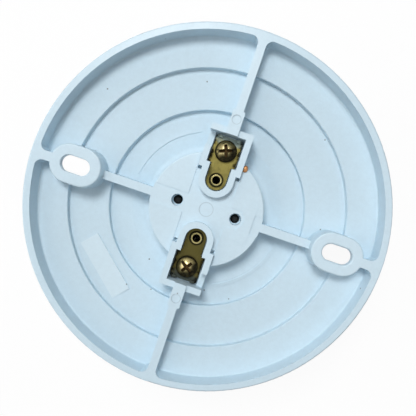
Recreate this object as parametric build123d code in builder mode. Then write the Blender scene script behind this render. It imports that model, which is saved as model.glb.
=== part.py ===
from build123d import *
import os
from math import cos, hypot, radians, sin, tan

os.makedirs("parts", exist_ok=True)

# Round ceiling lampholder for a screw-in lamp, built as it is seen from its mounting side.
# Millimetres. Z = 0 is the plane of the rim that sits on the ceiling, and +Z points at the ceiling.
# Depths and lengths that go down into the body, towards the lamp, are positive numbers.
# +X runs through the two mounting slots, +Y towards the upper terminal.

# Turned form of the base
BASE_RADIUS = 57.25
RIM_LAND = 2.3
RIM_DRAFT = 0.4
RIM_ROUND = 0.5
SKIN = 2.0
RIM_HEIGHT = 5.0
STEP_HEIGHT = 1.8
OUTER_STEP_RADIUS = 44.9
INNER_STEP_RADIUS = 32.0
FLOOR_SLOPE = 2.5
DISH_RADIUS = 24.6
DISH_DROP = 1.0
RISER_WALL = 1.6
FRONT_ROUND = 3.0
STEP_ROUND = 0.3
FRONT_STEP_ROUND = 0.9

# Hub in the middle of the back
HUB_RADIUS = 18.2
HUB_DEPTH = 3.0
HUB_FLOOR = 5.5
HUB_ROUND = 0.4
HUB_FOOT_ROUND = 2.4
SEAM_STEP = 0.25
SEAM_BAR_WIDE = 14.0
SEAM_BAR_NARROW = 6.2
GATE_MARK_RADIUS = 2.2
GATE_MARK_DEPTH = 0.1

# Lamp collar on the front
COLLAR_BORE = 16.2
COLLAR_ROOT_RADIUS = 19.8
COLLAR_NECK_RADIUS = 19.2
COLLAR_LIP_RADIUS = 20.2
COLLAR_LIP_HEIGHT = 4.0
MOUTH_DEPTH = 40.0
COLLAR_ROUND = 2.5
LIP_ROUND = 1.0

# Ribs on the back
LONG_RIB_WIDTH = 2.6
SHORT_RIB_WIDTH = 2.9
CROSS_RIB_WIDTH = 2.65
CROSS_RIB_DEPTH = 3.2
RIB_FLARE = 2.2
RIB_PAD_WIDTH = 3.9
PAD_LENGTH = 5.6
EJECTOR_RADIUS = 1.4
MARK_DEPTH = 0.25

# Bosses with the mounting slots
SLOT_SPACING = 85.5
SLOT_LENGTH = 9.45
SLOT_WIDTH = 5.25
BOSS_LENGTH = 16.4
BOSS_WIDTH = 12.35
BOSS_ROUND = 0.5
SLOT_ROUND = {"right": 0.6, "left": 0.3}
BOSS_DRAFT = 2.0
BOSS_ROOF = 2.0
BOSS_WALL = 1.5

# Terminal plates, lying on the Y axis in walled pockets
PLATE_DEPTH = 5.0
PLATE_THICKNESS = 1.2
PLATE_WIDTH = 9.0
TONGUE_RADIUS = 3.2
RIVET_OFFSET = 9.8
SCREW_OFFSET = 19.4
PLATE_SHOULDER = 14.85
PLATE_END = 23.9
LUG_LENGTH = 1.5
LUG_HEIGHT = 1.0
LUG_THICKNESS = 0.8
DIMPLE_RADIUS = 2.3
DIMPLE_DEPTH = 0.15
PLATE_ROUND = 0.6

# Pocket walls
POCKET_DEPTH = 1.0
POCKET_WALL = 2.0
POCKET_GAP = 0.3
POCKET_END_GAP = 0.5
PIT_LENGTH = 1.0
PIT_DEPTH = 1.6
SCREW_WELL_DEPTH = 3.9

# Terminal screws, M3.5 with a pan head
THREAD_RADIUS = 1.7
THREAD_GAP = 0.06
HEAD_RADIUS = 3.5
HEAD_HEIGHT = 2.4
HEAD_CROWN = 1.3
HEAD_FLAT_RADIUS = 1.2
HEAD_ROUND = 0.7
TIP_CHAMFER = 0.3
DRIVE_ANGLE = {"upper": 20.0, "lower": -35.0}
TERMINAL_SCREW_LENGTH = 4.6
SCREW_WELL_GAP = 0.4
DRIVE_SLOT_WIDTH = 0.8
DRIVE_SLOT_DEPTH = 1.1
CROSS_LENGTH = 4.4
CROSS_WIDTH = 1.15
CROSS_DEPTH = 1.6
CROSS_TAPER = 12.0
RECESS_ROUND = 0.1
SEAT_GAP = 0.03

# Hollow rivets
RIVET_HOLE = 1.33
RIVET_WALL = 0.27
RIVET_FLANGE = 1.9
RIVET_FLANGE_HEIGHT = 0.6
RIVET_GAP = 0.05

# Lamp shell
SHELL_BORE = 13.25
SHELL_SHEET = 0.35
SHELL_LENGTH = 22.0
SHELL_NECK = 12.6
SHELL_NECK_DEPTH = 5.2
SHELL_FLARE = 0.7
SHELL_FLOOR_HOLE = 6.0
SHELL_ROUND = 0.6
SHELL_STEP_ROUND = 0.2

# Screws that hold the shell
SHELL_SCREW_OFFSET = 9.65
SHELL_SCREW_RADIUS = 1.45
SHELL_SCREW_HEAD = 2.7
SHELL_SCREW_HEAD_HEIGHT = 1.8
SHELL_SCREW_ROUND = 0.9
SHELL_SCREW_TIP_DEPTH = 5.8
SHELL_SCREW_POINT = 0.7
HUB_HOLE_RADIUS = 1.9
HUB_HOLE_RING = 2.8
HUB_HOLE_DEPTH = 3.4
PILOT_GAP = 0.03

# Centre contact, one springy strip
CONTACT_WIDTH = 5.0
CONTACT_SHEET = 0.4
CONTACT_HEEL = 12.0
CONTACT_BEND = 6.6
CONTACT_RISE = 4.6
CONTACT_TIP = 3.4
CONTACT_TIP_DROP = 1.0
CONTACT_CLEARANCE = 0.9
CONTACT_BEND_RADIUS = 0.8

# Bare fields and low relief on the back
LABEL_LENGTH = 21.0
LABEL_WIDTH = 6.5
LABEL_RADIUS = 38.3
LABEL_ANGLE = 228.0
LABEL_HEIGHT = 0.25
HUB_LABEL_LENGTH = 13.2
HUB_LABEL_WIDTH = 4.0
HUB_LABEL_OFFSET = 13.2
HUB_LABEL_HEIGHT = 0.12
ARC_RADIUS = 25.75
ARC_WIDTH = 1.1
ARC_START = 113.7
ARC_SPAN = 57.0
ARC_HEIGHT = 0.25

# Corners and edges are found by their place, to within this
SAME_PLACE = 0.01

# Places worked out from the sizes above
SIDES = {"upper": 1, "lower": -1}
ENDS = {"right": 1, "left": -1}
RIM_INNER_RADIUS = BASE_RADIUS - RIM_LAND
FLOOR_FALL = tan(radians(FLOOR_SLOPE))
HUB_BOTTOM = HUB_DEPTH + HUB_FLOOR
PLATE_BOTTOM = PLATE_DEPTH + PLATE_THICKNESS
SLOT_OFFSET = SLOT_SPACING / 2
TONGUE_HALF = TONGUE_RADIUS + POCKET_GAP
POCKET_HALF = PLATE_WIDTH / 2 + POCKET_GAP
POCKET_SHOULDER = PLATE_SHOULDER - POCKET_GAP
POCKET_END = PLATE_END + POCKET_END_GAP
BLOCK_START = POCKET_SHOULDER - POCKET_WALL
BLOCK_END = POCKET_END + POCKET_WALL
BLOCK_HALF = POCKET_HALF + POCKET_WALL
BLOCK_TONGUE = TONGUE_HALF + POCKET_WALL
SCREW_HOLE = THREAD_RADIUS + THREAD_GAP
SCREW_WELL = SCREW_HOLE + SCREW_WELL_GAP
RIVET_SHANK = RIVET_HOLE + RIVET_WALL
SEATED = 0.5 * SKIN


def level(depth):
    """Horizontal plane at a depth below the rim."""
    return Plane.XY.offset(-depth)


def upright(across, along):
    """Vertical plane that stands across the X axis through one point, local Y pointing up."""
    return Plane(origin=(across, along, 0), x_dir=(1, 0, 0), z_dir=(0, -1, 0))


def closed_outline(corners):
    """Closed outline through corners given as across, up and corner radius."""
    points = [(across, up) for across, up, rounding in corners]
    FilletPolyline(*points, radius=[rounding for across, up, rounding in corners], close=True)


def floor_depth(radius, steps):
    """Depth of the floor, which falls gently towards the hub, at a radius and after some steps."""
    return RIM_HEIGHT + (RIM_INNER_RADIUS - radius) * FLOOR_FALL + steps * STEP_HEIGHT


def hub_foot_depth():
    """Depth of the floor where it meets the hub."""
    return floor_depth(DISH_RADIUS, 2) + DISH_DROP


def base_section():
    """Corners of the half section that is turned into the rim, floor, hub and collar."""
    outer_riser = OUTER_STEP_RADIUS + RISER_WALL
    inner_riser = INNER_STEP_RADIUS + RISER_WALL
    front = [
        (BASE_RADIUS, 0, RIM_ROUND),
        (BASE_RADIUS, -RIM_HEIGHT - SKIN, FRONT_ROUND),
        (outer_riser, -floor_depth(outer_riser, 0) - SKIN, STEP_ROUND),
        (outer_riser, -floor_depth(outer_riser, 1) - SKIN, FRONT_STEP_ROUND),
        (inner_riser, -floor_depth(inner_riser, 1) - SKIN, STEP_ROUND),
        (inner_riser, -floor_depth(inner_riser, 2) - SKIN, FRONT_STEP_ROUND),
        (DISH_RADIUS, -floor_depth(DISH_RADIUS, 2) - SKIN, LIP_ROUND),
        (COLLAR_ROOT_RADIUS, -hub_foot_depth() - SKIN, COLLAR_ROUND),
        (COLLAR_NECK_RADIUS, -MOUTH_DEPTH + COLLAR_LIP_HEIGHT + LIP_ROUND, LIP_ROUND),
        (COLLAR_LIP_RADIUS, -MOUTH_DEPTH + COLLAR_LIP_HEIGHT, STEP_ROUND),
        (COLLAR_LIP_RADIUS, -MOUTH_DEPTH, LIP_ROUND),
        (COLLAR_BORE, -MOUTH_DEPTH, LIP_ROUND),
        (COLLAR_BORE, -HUB_BOTTOM, RIM_ROUND),
        (0, -HUB_BOTTOM, 0),
    ]
    back = [
        (0, -HUB_DEPTH, 0),
        (HUB_RADIUS, -HUB_DEPTH, HUB_ROUND),
        (HUB_RADIUS, -hub_foot_depth(), HUB_FOOT_ROUND),
        (DISH_RADIUS, -floor_depth(DISH_RADIUS, 2), LIP_ROUND),
        (INNER_STEP_RADIUS, -floor_depth(INNER_STEP_RADIUS, 2), STEP_ROUND),
        (INNER_STEP_RADIUS, -floor_depth(INNER_STEP_RADIUS, 1), STEP_ROUND),
        (OUTER_STEP_RADIUS, -floor_depth(OUTER_STEP_RADIUS, 1), STEP_ROUND),
        (OUTER_STEP_RADIUS, -floor_depth(OUTER_STEP_RADIUS, 0), STEP_ROUND),
        (RIM_INNER_RADIUS - RIM_DRAFT, -RIM_HEIGHT, RIM_ROUND),
        (RIM_INNER_RADIUS, 0, STEP_ROUND),
    ]
    return front + back


def rib_space_section():
    """Half section of the space inside the base, sunk halfway into its skin, that ribs may fill."""
    outer_edge = BASE_RADIUS - RIM_LAND / 2
    outer_riser = OUTER_STEP_RADIUS + SEATED
    inner_riser = INNER_STEP_RADIUS + SEATED
    return [
        (0, 0),
        (outer_edge, 0),
        (outer_edge, -RIM_HEIGHT - SEATED),
        (outer_riser, -floor_depth(outer_riser, 0) - SEATED),
        (outer_riser, -floor_depth(outer_riser, 1) - SEATED),
        (inner_riser, -floor_depth(inner_riser, 1) - SEATED),
        (inner_riser, -floor_depth(inner_riser, 2) - SEATED),
        (DISH_RADIUS, -floor_depth(DISH_RADIUS, 2) - SEATED),
        (HUB_RADIUS - SEATED, -hub_foot_depth() - SEATED),
        (HUB_RADIUS - SEATED, -HUB_BOTTOM + SEATED),
        (0, -HUB_BOTTOM + SEATED),
    ]


def keyhole(half_tongue, shoulder, half_wide, end, side, mode=Mode.ADD):
    """Outline about one terminal: a rounded tongue end, then the wider screw end."""
    with Locations((0, side * RIVET_OFFSET)):
        Circle(half_tongue, mode=mode)
    with Locations((0, side * (RIVET_OFFSET + shoulder) / 2)):
        Rectangle(2 * half_tongue, shoulder - RIVET_OFFSET, mode=mode)
    with Locations((0, side * (shoulder + end) / 2)):
        Rectangle(2 * half_wide, end - shoulder, mode=mode)


def terminal_screw_section():
    """Corners of the half section of a terminal screw, seated on its plate."""
    seat = -PLATE_DEPTH + SEAT_GAP
    tip = seat - TERMINAL_SCREW_LENGTH
    return [
        (0, tip, 0),
        (THREAD_RADIUS - TIP_CHAMFER, tip, 0),
        (THREAD_RADIUS, tip + TIP_CHAMFER, 0),
        (THREAD_RADIUS, seat, 0),
        (HEAD_RADIUS, seat, TIP_CHAMFER),
        (HEAD_RADIUS, seat + HEAD_HEIGHT - HEAD_CROWN, HEAD_ROUND),
        (HEAD_FLAT_RADIUS, seat + HEAD_HEIGHT, HEAD_RADIUS),
        (0, seat + HEAD_HEIGHT, 0),
    ]


def pocket_block(side, mode=Mode.ADD):
    """Outline of the raised walls round one terminal."""
    keyhole(BLOCK_TONGUE, BLOCK_START, BLOCK_HALF, BLOCK_END, side, mode)


def shell_section():
    """Corners of the half section of the lamp shell: open floor, plain neck, wall and flared mouth."""
    neck_outer = SHELL_NECK + SHELL_SHEET
    wall_outer = SHELL_BORE + SHELL_SHEET
    neck_end = -HUB_BOTTOM - SHELL_NECK_DEPTH
    mouth = -HUB_BOTTOM - SHELL_LENGTH
    outside = [
        (SHELL_FLOOR_HOLE, -HUB_BOTTOM, 0),
        (neck_outer, -HUB_BOTTOM, SHELL_ROUND),
        (neck_outer, neck_end, SHELL_STEP_ROUND),
        (wall_outer, neck_end, SHELL_STEP_ROUND),
        (wall_outer, mouth + SHELL_FLARE, 0),
        (wall_outer + SHELL_FLARE, mouth, 0),
    ]
    inside = [
        (SHELL_BORE + SHELL_FLARE, mouth, 0),
        (SHELL_BORE, mouth + SHELL_FLARE, 0),
        (SHELL_BORE, neck_end - SHELL_SHEET, SHELL_STEP_ROUND),
        (SHELL_NECK, neck_end - SHELL_SHEET, SHELL_STEP_ROUND),
        (SHELL_NECK, -HUB_BOTTOM - SHELL_SHEET, SHELL_ROUND - SHELL_SHEET),
        (SHELL_FLOOR_HOLE, -HUB_BOTTOM - SHELL_SHEET, 0),
    ]
    return outside + inside


with BuildPart() as base:
    # Bosses round the mounting slots, rounded on top and wider towards the floor
    with BuildSketch(level(0)):
        with Locations((SLOT_OFFSET, 0), (-SLOT_OFFSET, 0)):
            SlotOverall(BOSS_LENGTH, BOSS_WIDTH)
    extrude(amount=-MOUTH_DEPTH, taper=-BOSS_DRAFT)
    fillet(base.edges().group_by(Axis.Z)[-1], BOSS_ROUND)

    # Rim webs: the four ribs that run out to the rim, flared where they meet it
    with BuildSketch(level(0)) as rim_webs:
        Circle(BASE_RADIUS - RIM_LAND / 2)
        Circle(RIM_INNER_RADIUS, mode=Mode.SUBTRACT)
        long_rib = RIM_INNER_RADIUS + RIM_LAND / 2 - BLOCK_END + POCKET_WALL / 2
        long_rib_middle = BLOCK_END - POCKET_WALL / 2 + long_rib / 2
        with Locations((0, long_rib_middle), (0, -long_rib_middle)):
            Rectangle(LONG_RIB_WIDTH, long_rib)
        short_rib = RIM_INNER_RADIUS + RIM_LAND / 2 - SLOT_OFFSET
        short_rib_middle = SLOT_OFFSET + short_rib / 2
        with Locations((short_rib_middle, 0), (-short_rib_middle, 0)):
            Rectangle(short_rib, SHORT_RIB_WIDTH)
        at_rim = [
            corner for corner in rim_webs.vertices()
            if abs(hypot(corner.X, corner.Y) - RIM_INNER_RADIUS) < SAME_PLACE
        ]
        fillet(at_rim, RIB_FLARE)
    extrude(amount=-MOUTH_DEPTH)

    # Wider pads where the long ribs meet the pockets
    with BuildSketch(level(0)):
        pad_middle = BLOCK_END + PAD_LENGTH / 2 - POCKET_WALL / 2
        with Locations((0, pad_middle), (0, -pad_middle)):
            Rectangle(RIB_PAD_WIDTH, PAD_LENGTH + POCKET_WALL)
    extrude(amount=-MOUTH_DEPTH)

    # Lower ribs from the hub out to the bosses
    with BuildSketch(level(CROSS_RIB_DEPTH)):
        cross_rib = SLOT_OFFSET - SLOT_LENGTH / 2 - BOSS_WALL - HUB_RADIUS + SKIN
        cross_rib_middle = HUB_RADIUS - SKIN + cross_rib / 2
        with Locations((cross_rib_middle, 0), (-cross_rib_middle, 0)):
            Rectangle(cross_rib, CROSS_RIB_WIDTH)
    extrude(amount=-MOUTH_DEPTH)

    # Raised blocks that hold the two terminals
    with BuildSketch(level(POCKET_DEPTH)):
        for side in SIDES.values():
            pocket_block(side)
    extrude(amount=-MOUTH_DEPTH)

    # All of these stop inside the skin of the floor
    with BuildSketch(Plane.XZ):
        with BuildLine():
            Polyline(*rib_space_section(), close=True)
        make_face()
    revolve(axis=Axis.Z, mode=Mode.INTERSECT)

    # The skin itself: rim, stepped floor, hub and collar
    with BuildSketch(Plane.XZ):
        with BuildLine():
            closed_outline(base_section())
        make_face()
    revolve(axis=Axis.Z)

    # Low relief: a cross of seams and a round mark sunk in the hub, bare fields and wiring arcs
    with BuildSketch(level(HUB_DEPTH)):
        Rectangle(SEAM_BAR_WIDE, 2 * HUB_RADIUS)
        Rectangle(2 * HUB_RADIUS, SEAM_BAR_NARROW)
        for side in SIDES.values():
            pocket_block(side, Mode.SUBTRACT)
    extrude(amount=-SEAM_STEP, mode=Mode.SUBTRACT)
    with Locations((0, 0, -HUB_DEPTH)):
        Hole(GATE_MARK_RADIUS, depth=SEAM_STEP + GATE_MARK_DEPTH)
    with BuildSketch(level(HUB_DEPTH - HUB_LABEL_HEIGHT)):
        with Locations((HUB_LABEL_OFFSET, 0)):
            Rectangle(HUB_LABEL_WIDTH, HUB_LABEL_LENGTH)
        with Locations((SHELL_SCREW_OFFSET, 0)):
            Circle(HUB_HOLE_RING, mode=Mode.SUBTRACT)
    extrude(amount=-HUB_LABEL_HEIGHT - SEAM_STEP)
    label_at = (LABEL_RADIUS * cos(radians(LABEL_ANGLE)), LABEL_RADIUS * sin(radians(LABEL_ANGLE)))
    with BuildSketch(level(floor_depth(LABEL_RADIUS, 1) - LABEL_HEIGHT)):
        with Locations(Location(label_at, LABEL_ANGLE)):
            Rectangle(LABEL_WIDTH, LABEL_LENGTH)
    extrude(amount=-LABEL_HEIGHT - SEATED)
    with BuildSketch(level(floor_depth(ARC_RADIUS, 2) - ARC_HEIGHT)):
        for start in (ARC_START, ARC_START + 180):
            arc = Edge.make_circle(ARC_RADIUS, start_angle=start, end_angle=start + ARC_SPAN)
            SlotArc(arc, ARC_WIDTH)
    extrude(amount=-ARC_HEIGHT - SEATED)
    with BuildSketch(level(0)):
        mark_offset = BLOCK_END + PAD_LENGTH / 2
        with Locations((0, mark_offset), (0, -mark_offset)):
            Circle(EJECTOR_RADIUS)
    extrude(amount=-MARK_DEPTH, mode=Mode.SUBTRACT)

    # Mounting slots, and the oval wells under them that take the screw heads
    with BuildSketch(level(0)):
        with Locations((SLOT_OFFSET, 0), (-SLOT_OFFSET, 0)):
            SlotOverall(SLOT_LENGTH, SLOT_WIDTH)
    extrude(amount=-MOUTH_DEPTH, mode=Mode.SUBTRACT)
    for name, end in ENDS.items():
        slot_edge = [
            edge for edge in base.edges().group_by(Axis.Z)[-1]
            if abs(edge.center().X - end * SLOT_OFFSET) < SLOT_LENGTH / 2 + SAME_PLACE
            and abs(edge.center().Y) < SLOT_WIDTH / 2 + SAME_PLACE
        ]
        fillet(slot_edge, SLOT_ROUND[name])
    with BuildSketch(level(BOSS_ROOF)):
        with Locations((SLOT_OFFSET, 0), (-SLOT_OFFSET, 0)):
            SlotOverall(BOSS_LENGTH - 2 * BOSS_WALL, BOSS_WIDTH - 2 * BOSS_WALL)
    extrude(amount=-MOUTH_DEPTH, mode=Mode.SUBTRACT)

    # Pockets that the terminal plates lie in
    with BuildSketch(level(POCKET_DEPTH)):
        for side in SIDES.values():
            keyhole(TONGUE_HALF, POCKET_SHOULDER, POCKET_HALF, POCKET_END, side)
    extrude(amount=POCKET_DEPTH - PLATE_BOTTOM, mode=Mode.SUBTRACT)

    # Wire entries through one side wall of each pocket
    with BuildSketch(level(POCKET_DEPTH)):
        entry_length = POCKET_END - SCREW_OFFSET
        for side in SIDES.values():
            with Locations((-side * (POCKET_HALF + POCKET_WALL), side * (SCREW_OFFSET + entry_length / 2))):
                Rectangle(4 * POCKET_WALL, entry_length)
    extrude(amount=POCKET_DEPTH - PLATE_DEPTH, mode=Mode.SUBTRACT)

    # Small square pits where the tongue walls meet the wider walls
    with BuildSketch(level(HUB_DEPTH)):
        pit_width = BLOCK_HALF - BLOCK_TONGUE
        for side in SIDES.values():
            for across in (-1, 1):
                pit_at = (across * (BLOCK_TONGUE + pit_width / 2), side * (BLOCK_START - PIT_LENGTH / 2))
                with Locations(pit_at):
                    Rectangle(pit_width, PIT_LENGTH)
    extrude(amount=-PIT_DEPTH, mode=Mode.SUBTRACT)

    # Holes for the rivets, the screw ends and the shell screws
    with Locations(*[(0, side * RIVET_OFFSET, -PLATE_BOTTOM) for side in SIDES.values()]):
        Hole(RIVET_SHANK + RIVET_GAP, depth=HUB_BOTTOM - PLATE_BOTTOM)
    with Locations(*[(0, side * SCREW_OFFSET, -PLATE_BOTTOM) for side in SIDES.values()]):
        Hole(SCREW_WELL, depth=SCREW_WELL_DEPTH)
    for end in ENDS.values():
        with Locations((end * SHELL_SCREW_OFFSET, 0, -HUB_DEPTH)):
            Hole(SHELL_SCREW_RADIUS + PILOT_GAP, depth=HUB_FLOOR)
            Hole(HUB_HOLE_RADIUS, depth=HUB_HOLE_DEPTH)
            Hole(HUB_HOLE_RING, depth=SEAM_STEP)

base.part.label = "base"
export_step(base.part, "parts/base.step")


# Terminal plates: sheet brass with turned-up outer corners and a tapped hole
for name, side in SIDES.items():
    with BuildPart() as terminal_plate:
        with BuildSketch(level(PLATE_DEPTH)) as plate_outline:
            keyhole(TONGUE_RADIUS, PLATE_SHOULDER, PLATE_WIDTH / 2, PLATE_END, side)
            shoulders = [
                corner for corner in plate_outline.vertices()
                if abs(abs(corner.X) - PLATE_WIDTH / 2) < SAME_PLACE
            ]
            fillet(shoulders, PLATE_ROUND)
        extrude(amount=-PLATE_THICKNESS)
        with BuildSketch(level(PLATE_DEPTH - LUG_HEIGHT)):
            lug_across = PLATE_WIDTH / 2 - PLATE_ROUND - LUG_LENGTH / 2
            lug_along = side * (PLATE_END - LUG_THICKNESS / 2)
            with Locations((lug_across, lug_along), (-lug_across, lug_along)):
                Rectangle(LUG_LENGTH, LUG_THICKNESS)
        extrude(amount=-LUG_HEIGHT)
        with Locations((0, side * RIVET_OFFSET, -PLATE_DEPTH)):
            Hole(RIVET_SHANK + RIVET_GAP, depth=PLATE_THICKNESS)
            Hole(DIMPLE_RADIUS, depth=DIMPLE_DEPTH)
        with Locations((0, side * SCREW_OFFSET, -PLATE_DEPTH)):
            Hole(SCREW_HOLE, depth=PLATE_THICKNESS)
    terminal_plate.part.label = f"terminal_plate_{name}"
    export_step(terminal_plate.part, f"parts/terminal_plate_{name}.step")


# Terminal screws: low crowned head, cross recess with a slot across it
for name, side in SIDES.items():
    with BuildPart() as terminal_screw:
        with BuildSketch(upright(0, side * SCREW_OFFSET)):
            with BuildLine():
                closed_outline(terminal_screw_section())
            make_face()
        revolve(axis=Axis((0, side * SCREW_OFFSET, 0), (0, 0, 1)))
        head_top = PLATE_DEPTH - SEAT_GAP - HEAD_HEIGHT
        with BuildSketch(level(head_top)):
            with Locations(Location((0, side * SCREW_OFFSET), DRIVE_ANGLE[name])):
                Rectangle(2 * HEAD_RADIUS, DRIVE_SLOT_WIDTH)
        extrude(amount=-DRIVE_SLOT_DEPTH, mode=Mode.SUBTRACT)
        with BuildSketch(level(head_top)):
            with Locations(Location((0, side * SCREW_OFFSET), DRIVE_ANGLE[name])):
                Rectangle(CROSS_LENGTH, CROSS_WIDTH)
                Rectangle(CROSS_WIDTH, CROSS_LENGTH)
        extrude(amount=-CROSS_DEPTH, taper=CROSS_TAPER, mode=Mode.SUBTRACT)
        # The recess cuts the crown in free curves, whose sharp edges are rounded near the top
        recess_mouth = [
            edge for edge in terminal_screw.edges().filter_by(GeomType.BSPLINE)
            if edge.bounding_box().min.Z > -head_top - HEAD_CROWN / 2
        ]
        fillet(recess_mouth, RECESS_ROUND)
    terminal_screw.part.label = f"terminal_screw_{name}"
    export_step(terminal_screw.part, f"parts/terminal_screw_{name}.step")


# Hollow rivets: flange on the plate, tube through the hub, clinched on what each one holds
for name, side in SIDES.items():
    held_sheet = {"upper": CONTACT_SHEET, "lower": SHELL_SHEET}[name]
    with BuildPart() as terminal_rivet:
        flange_seat = -PLATE_DEPTH - DIMPLE_DEPTH
        clinch_seat = -HUB_BOTTOM - held_sheet
        with BuildSketch(upright(0, side * RIVET_OFFSET)):
            with BuildLine():
                closed_outline([
                    (RIVET_HOLE, flange_seat + RIVET_FLANGE_HEIGHT, 0),
                    (RIVET_FLANGE, flange_seat + RIVET_FLANGE_HEIGHT, RIVET_FLANGE_HEIGHT / 2),
                    (RIVET_FLANGE, flange_seat, 0),
                    (RIVET_SHANK, flange_seat, 0),
                    (RIVET_SHANK, clinch_seat, 0),
                    (RIVET_FLANGE, clinch_seat, 0),
                    (RIVET_FLANGE, clinch_seat - RIVET_FLANGE_HEIGHT, RIVET_FLANGE_HEIGHT / 2),
                    (RIVET_HOLE, clinch_seat - RIVET_FLANGE_HEIGHT, 0),
                ])
            make_face()
        revolve(axis=Axis((0, side * RIVET_OFFSET, 0), (0, 0, 1)))
    terminal_rivet.part.label = f"terminal_rivet_{name}"
    export_step(terminal_rivet.part, f"parts/terminal_rivet_{name}.step")


# Lamp shell: drawn cup with an open floor, seated on the front of the hub floor
with BuildPart() as screw_shell:
    with BuildSketch(Plane.XZ):
        with BuildLine():
            closed_outline(shell_section())
        make_face()
    revolve(axis=Axis.Z)
    # The floor is cut away round the centre contact, so that the two never touch
    with BuildSketch(level(HUB_BOTTOM)):
        cut_end = CONTACT_HEEL + CONTACT_CLEARANCE / 2
        with Locations((0, cut_end / 2)):
            Rectangle(CONTACT_WIDTH + 2 * CONTACT_CLEARANCE, cut_end)
    extrude(amount=-SHELL_SHEET, mode=Mode.SUBTRACT)
    with Locations(*[(end * SHELL_SCREW_OFFSET, 0, -HUB_BOTTOM) for end in ENDS.values()]):
        Hole(SHELL_SCREW_RADIUS + RIVET_GAP, depth=SHELL_SHEET)
    with Locations((0, -RIVET_OFFSET, -HUB_BOTTOM)):
        Hole(RIVET_SHANK + RIVET_GAP, depth=SHELL_SHEET)

screw_shell.part.label = "screw_shell"
export_step(screw_shell.part, "parts/screw_shell.step")


# Screws driven from the front that hold the shell, their tips showing in the hub holes
for name, end in ENDS.items():
    with BuildPart() as shell_screw:
        head_seat = -HUB_BOTTOM - SHELL_SHEET
        tip = -SHELL_SCREW_TIP_DEPTH
        with BuildSketch(upright(end * SHELL_SCREW_OFFSET, 0)):
            with BuildLine():
                closed_outline([
                    (0, tip, 0),
                    (SHELL_SCREW_RADIUS - SHELL_SCREW_POINT, tip, 0),
                    (SHELL_SCREW_RADIUS, tip - SHELL_SCREW_POINT, 0),
                    (SHELL_SCREW_RADIUS, head_seat, 0),
                    (SHELL_SCREW_HEAD, head_seat, 0),
                    (SHELL_SCREW_HEAD, head_seat - SHELL_SCREW_HEAD_HEIGHT, SHELL_SCREW_ROUND),
                    (0, head_seat - SHELL_SCREW_HEAD_HEIGHT, 0),
                ])
            make_face()
        revolve(axis=Axis((end * SHELL_SCREW_OFFSET, 0, 0), (0, 0, 1)))
        with BuildSketch(level(-head_seat + SHELL_SCREW_HEAD_HEIGHT)):
            with Locations((end * SHELL_SCREW_OFFSET, 0)):
                Rectangle(DRIVE_SLOT_WIDTH, 2 * SHELL_SCREW_HEAD)
        extrude(amount=DRIVE_SLOT_DEPTH, mode=Mode.SUBTRACT)
    shell_screw.part.label = f"shell_screw_{name}"
    export_step(shell_screw.part, f"parts/shell_screw_{name}.step")


# Centre contact: flat heel under the upper rivet, then a springy arm over the middle
with BuildPart() as centre_contact:
    heel_middle = -HUB_BOTTOM - CONTACT_SHEET / 2
    with BuildSketch(Plane.YZ):
        with BuildLine():
            FilletPolyline(
                (CONTACT_HEEL, heel_middle),
                (CONTACT_BEND, heel_middle),
                (CONTACT_TIP, heel_middle - CONTACT_RISE),
                (-CONTACT_TIP, heel_middle - CONTACT_RISE),
                (-CONTACT_TIP - CONTACT_TIP_DROP, heel_middle - CONTACT_RISE + CONTACT_TIP_DROP),
                radius=CONTACT_BEND_RADIUS,
            )
        trace(line_width=CONTACT_SHEET)
    extrude(amount=CONTACT_WIDTH / 2, both=True)
    with Locations((0, RIVET_OFFSET, -HUB_BOTTOM)):
        Hole(RIVET_SHANK + RIVET_GAP, depth=CONTACT_SHEET)

centre_contact.part.label = "centre_contact"
export_step(centre_contact.part, "parts/centre_contact.step")
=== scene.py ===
"""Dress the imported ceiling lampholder: materials, the lamp shell's thread, stage, lamps and camera.

Lengths are metres. The frame is the part's own: Z = 0 is the rim's plane and +Z points at the ceiling,
so the open back looks up at the camera and the mouth of the collar stands on the floor.
"""

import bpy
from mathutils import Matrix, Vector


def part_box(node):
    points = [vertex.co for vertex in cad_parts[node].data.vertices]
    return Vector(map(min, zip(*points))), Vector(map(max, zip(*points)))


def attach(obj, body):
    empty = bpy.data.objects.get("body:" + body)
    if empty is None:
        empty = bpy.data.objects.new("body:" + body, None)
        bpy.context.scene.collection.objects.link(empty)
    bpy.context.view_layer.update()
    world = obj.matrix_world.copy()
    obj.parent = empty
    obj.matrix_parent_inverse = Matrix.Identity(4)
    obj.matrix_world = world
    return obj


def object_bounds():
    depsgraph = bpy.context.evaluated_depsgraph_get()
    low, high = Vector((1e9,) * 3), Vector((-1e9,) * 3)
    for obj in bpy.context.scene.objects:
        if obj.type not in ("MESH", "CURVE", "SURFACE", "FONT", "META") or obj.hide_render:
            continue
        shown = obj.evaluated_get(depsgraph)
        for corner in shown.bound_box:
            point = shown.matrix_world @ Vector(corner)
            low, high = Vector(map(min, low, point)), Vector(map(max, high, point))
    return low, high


bl_info = {
    "name": "Ceiling lampholder",
    "version": (1, 0, 0),
    "blender": (4, 5, 0),
    "location": "3D View > Sidebar > Lampholder",
    "description": "Dresses a moulded ceiling lampholder with its brass terminals and lamp shell",
    "category": "Object",
}

import math

import bpy
from bpy.props import FloatProperty, FloatVectorProperty, PointerProperty
from mathutils import Vector

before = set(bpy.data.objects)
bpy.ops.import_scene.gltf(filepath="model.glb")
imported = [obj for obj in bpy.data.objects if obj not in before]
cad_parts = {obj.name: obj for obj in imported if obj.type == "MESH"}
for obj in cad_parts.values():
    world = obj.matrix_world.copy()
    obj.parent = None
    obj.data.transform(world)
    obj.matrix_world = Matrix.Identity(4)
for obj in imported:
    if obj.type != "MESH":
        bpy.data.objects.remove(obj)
cad_low, cad_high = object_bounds()

MM = 0.001
HOLDER = "holder"
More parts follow.
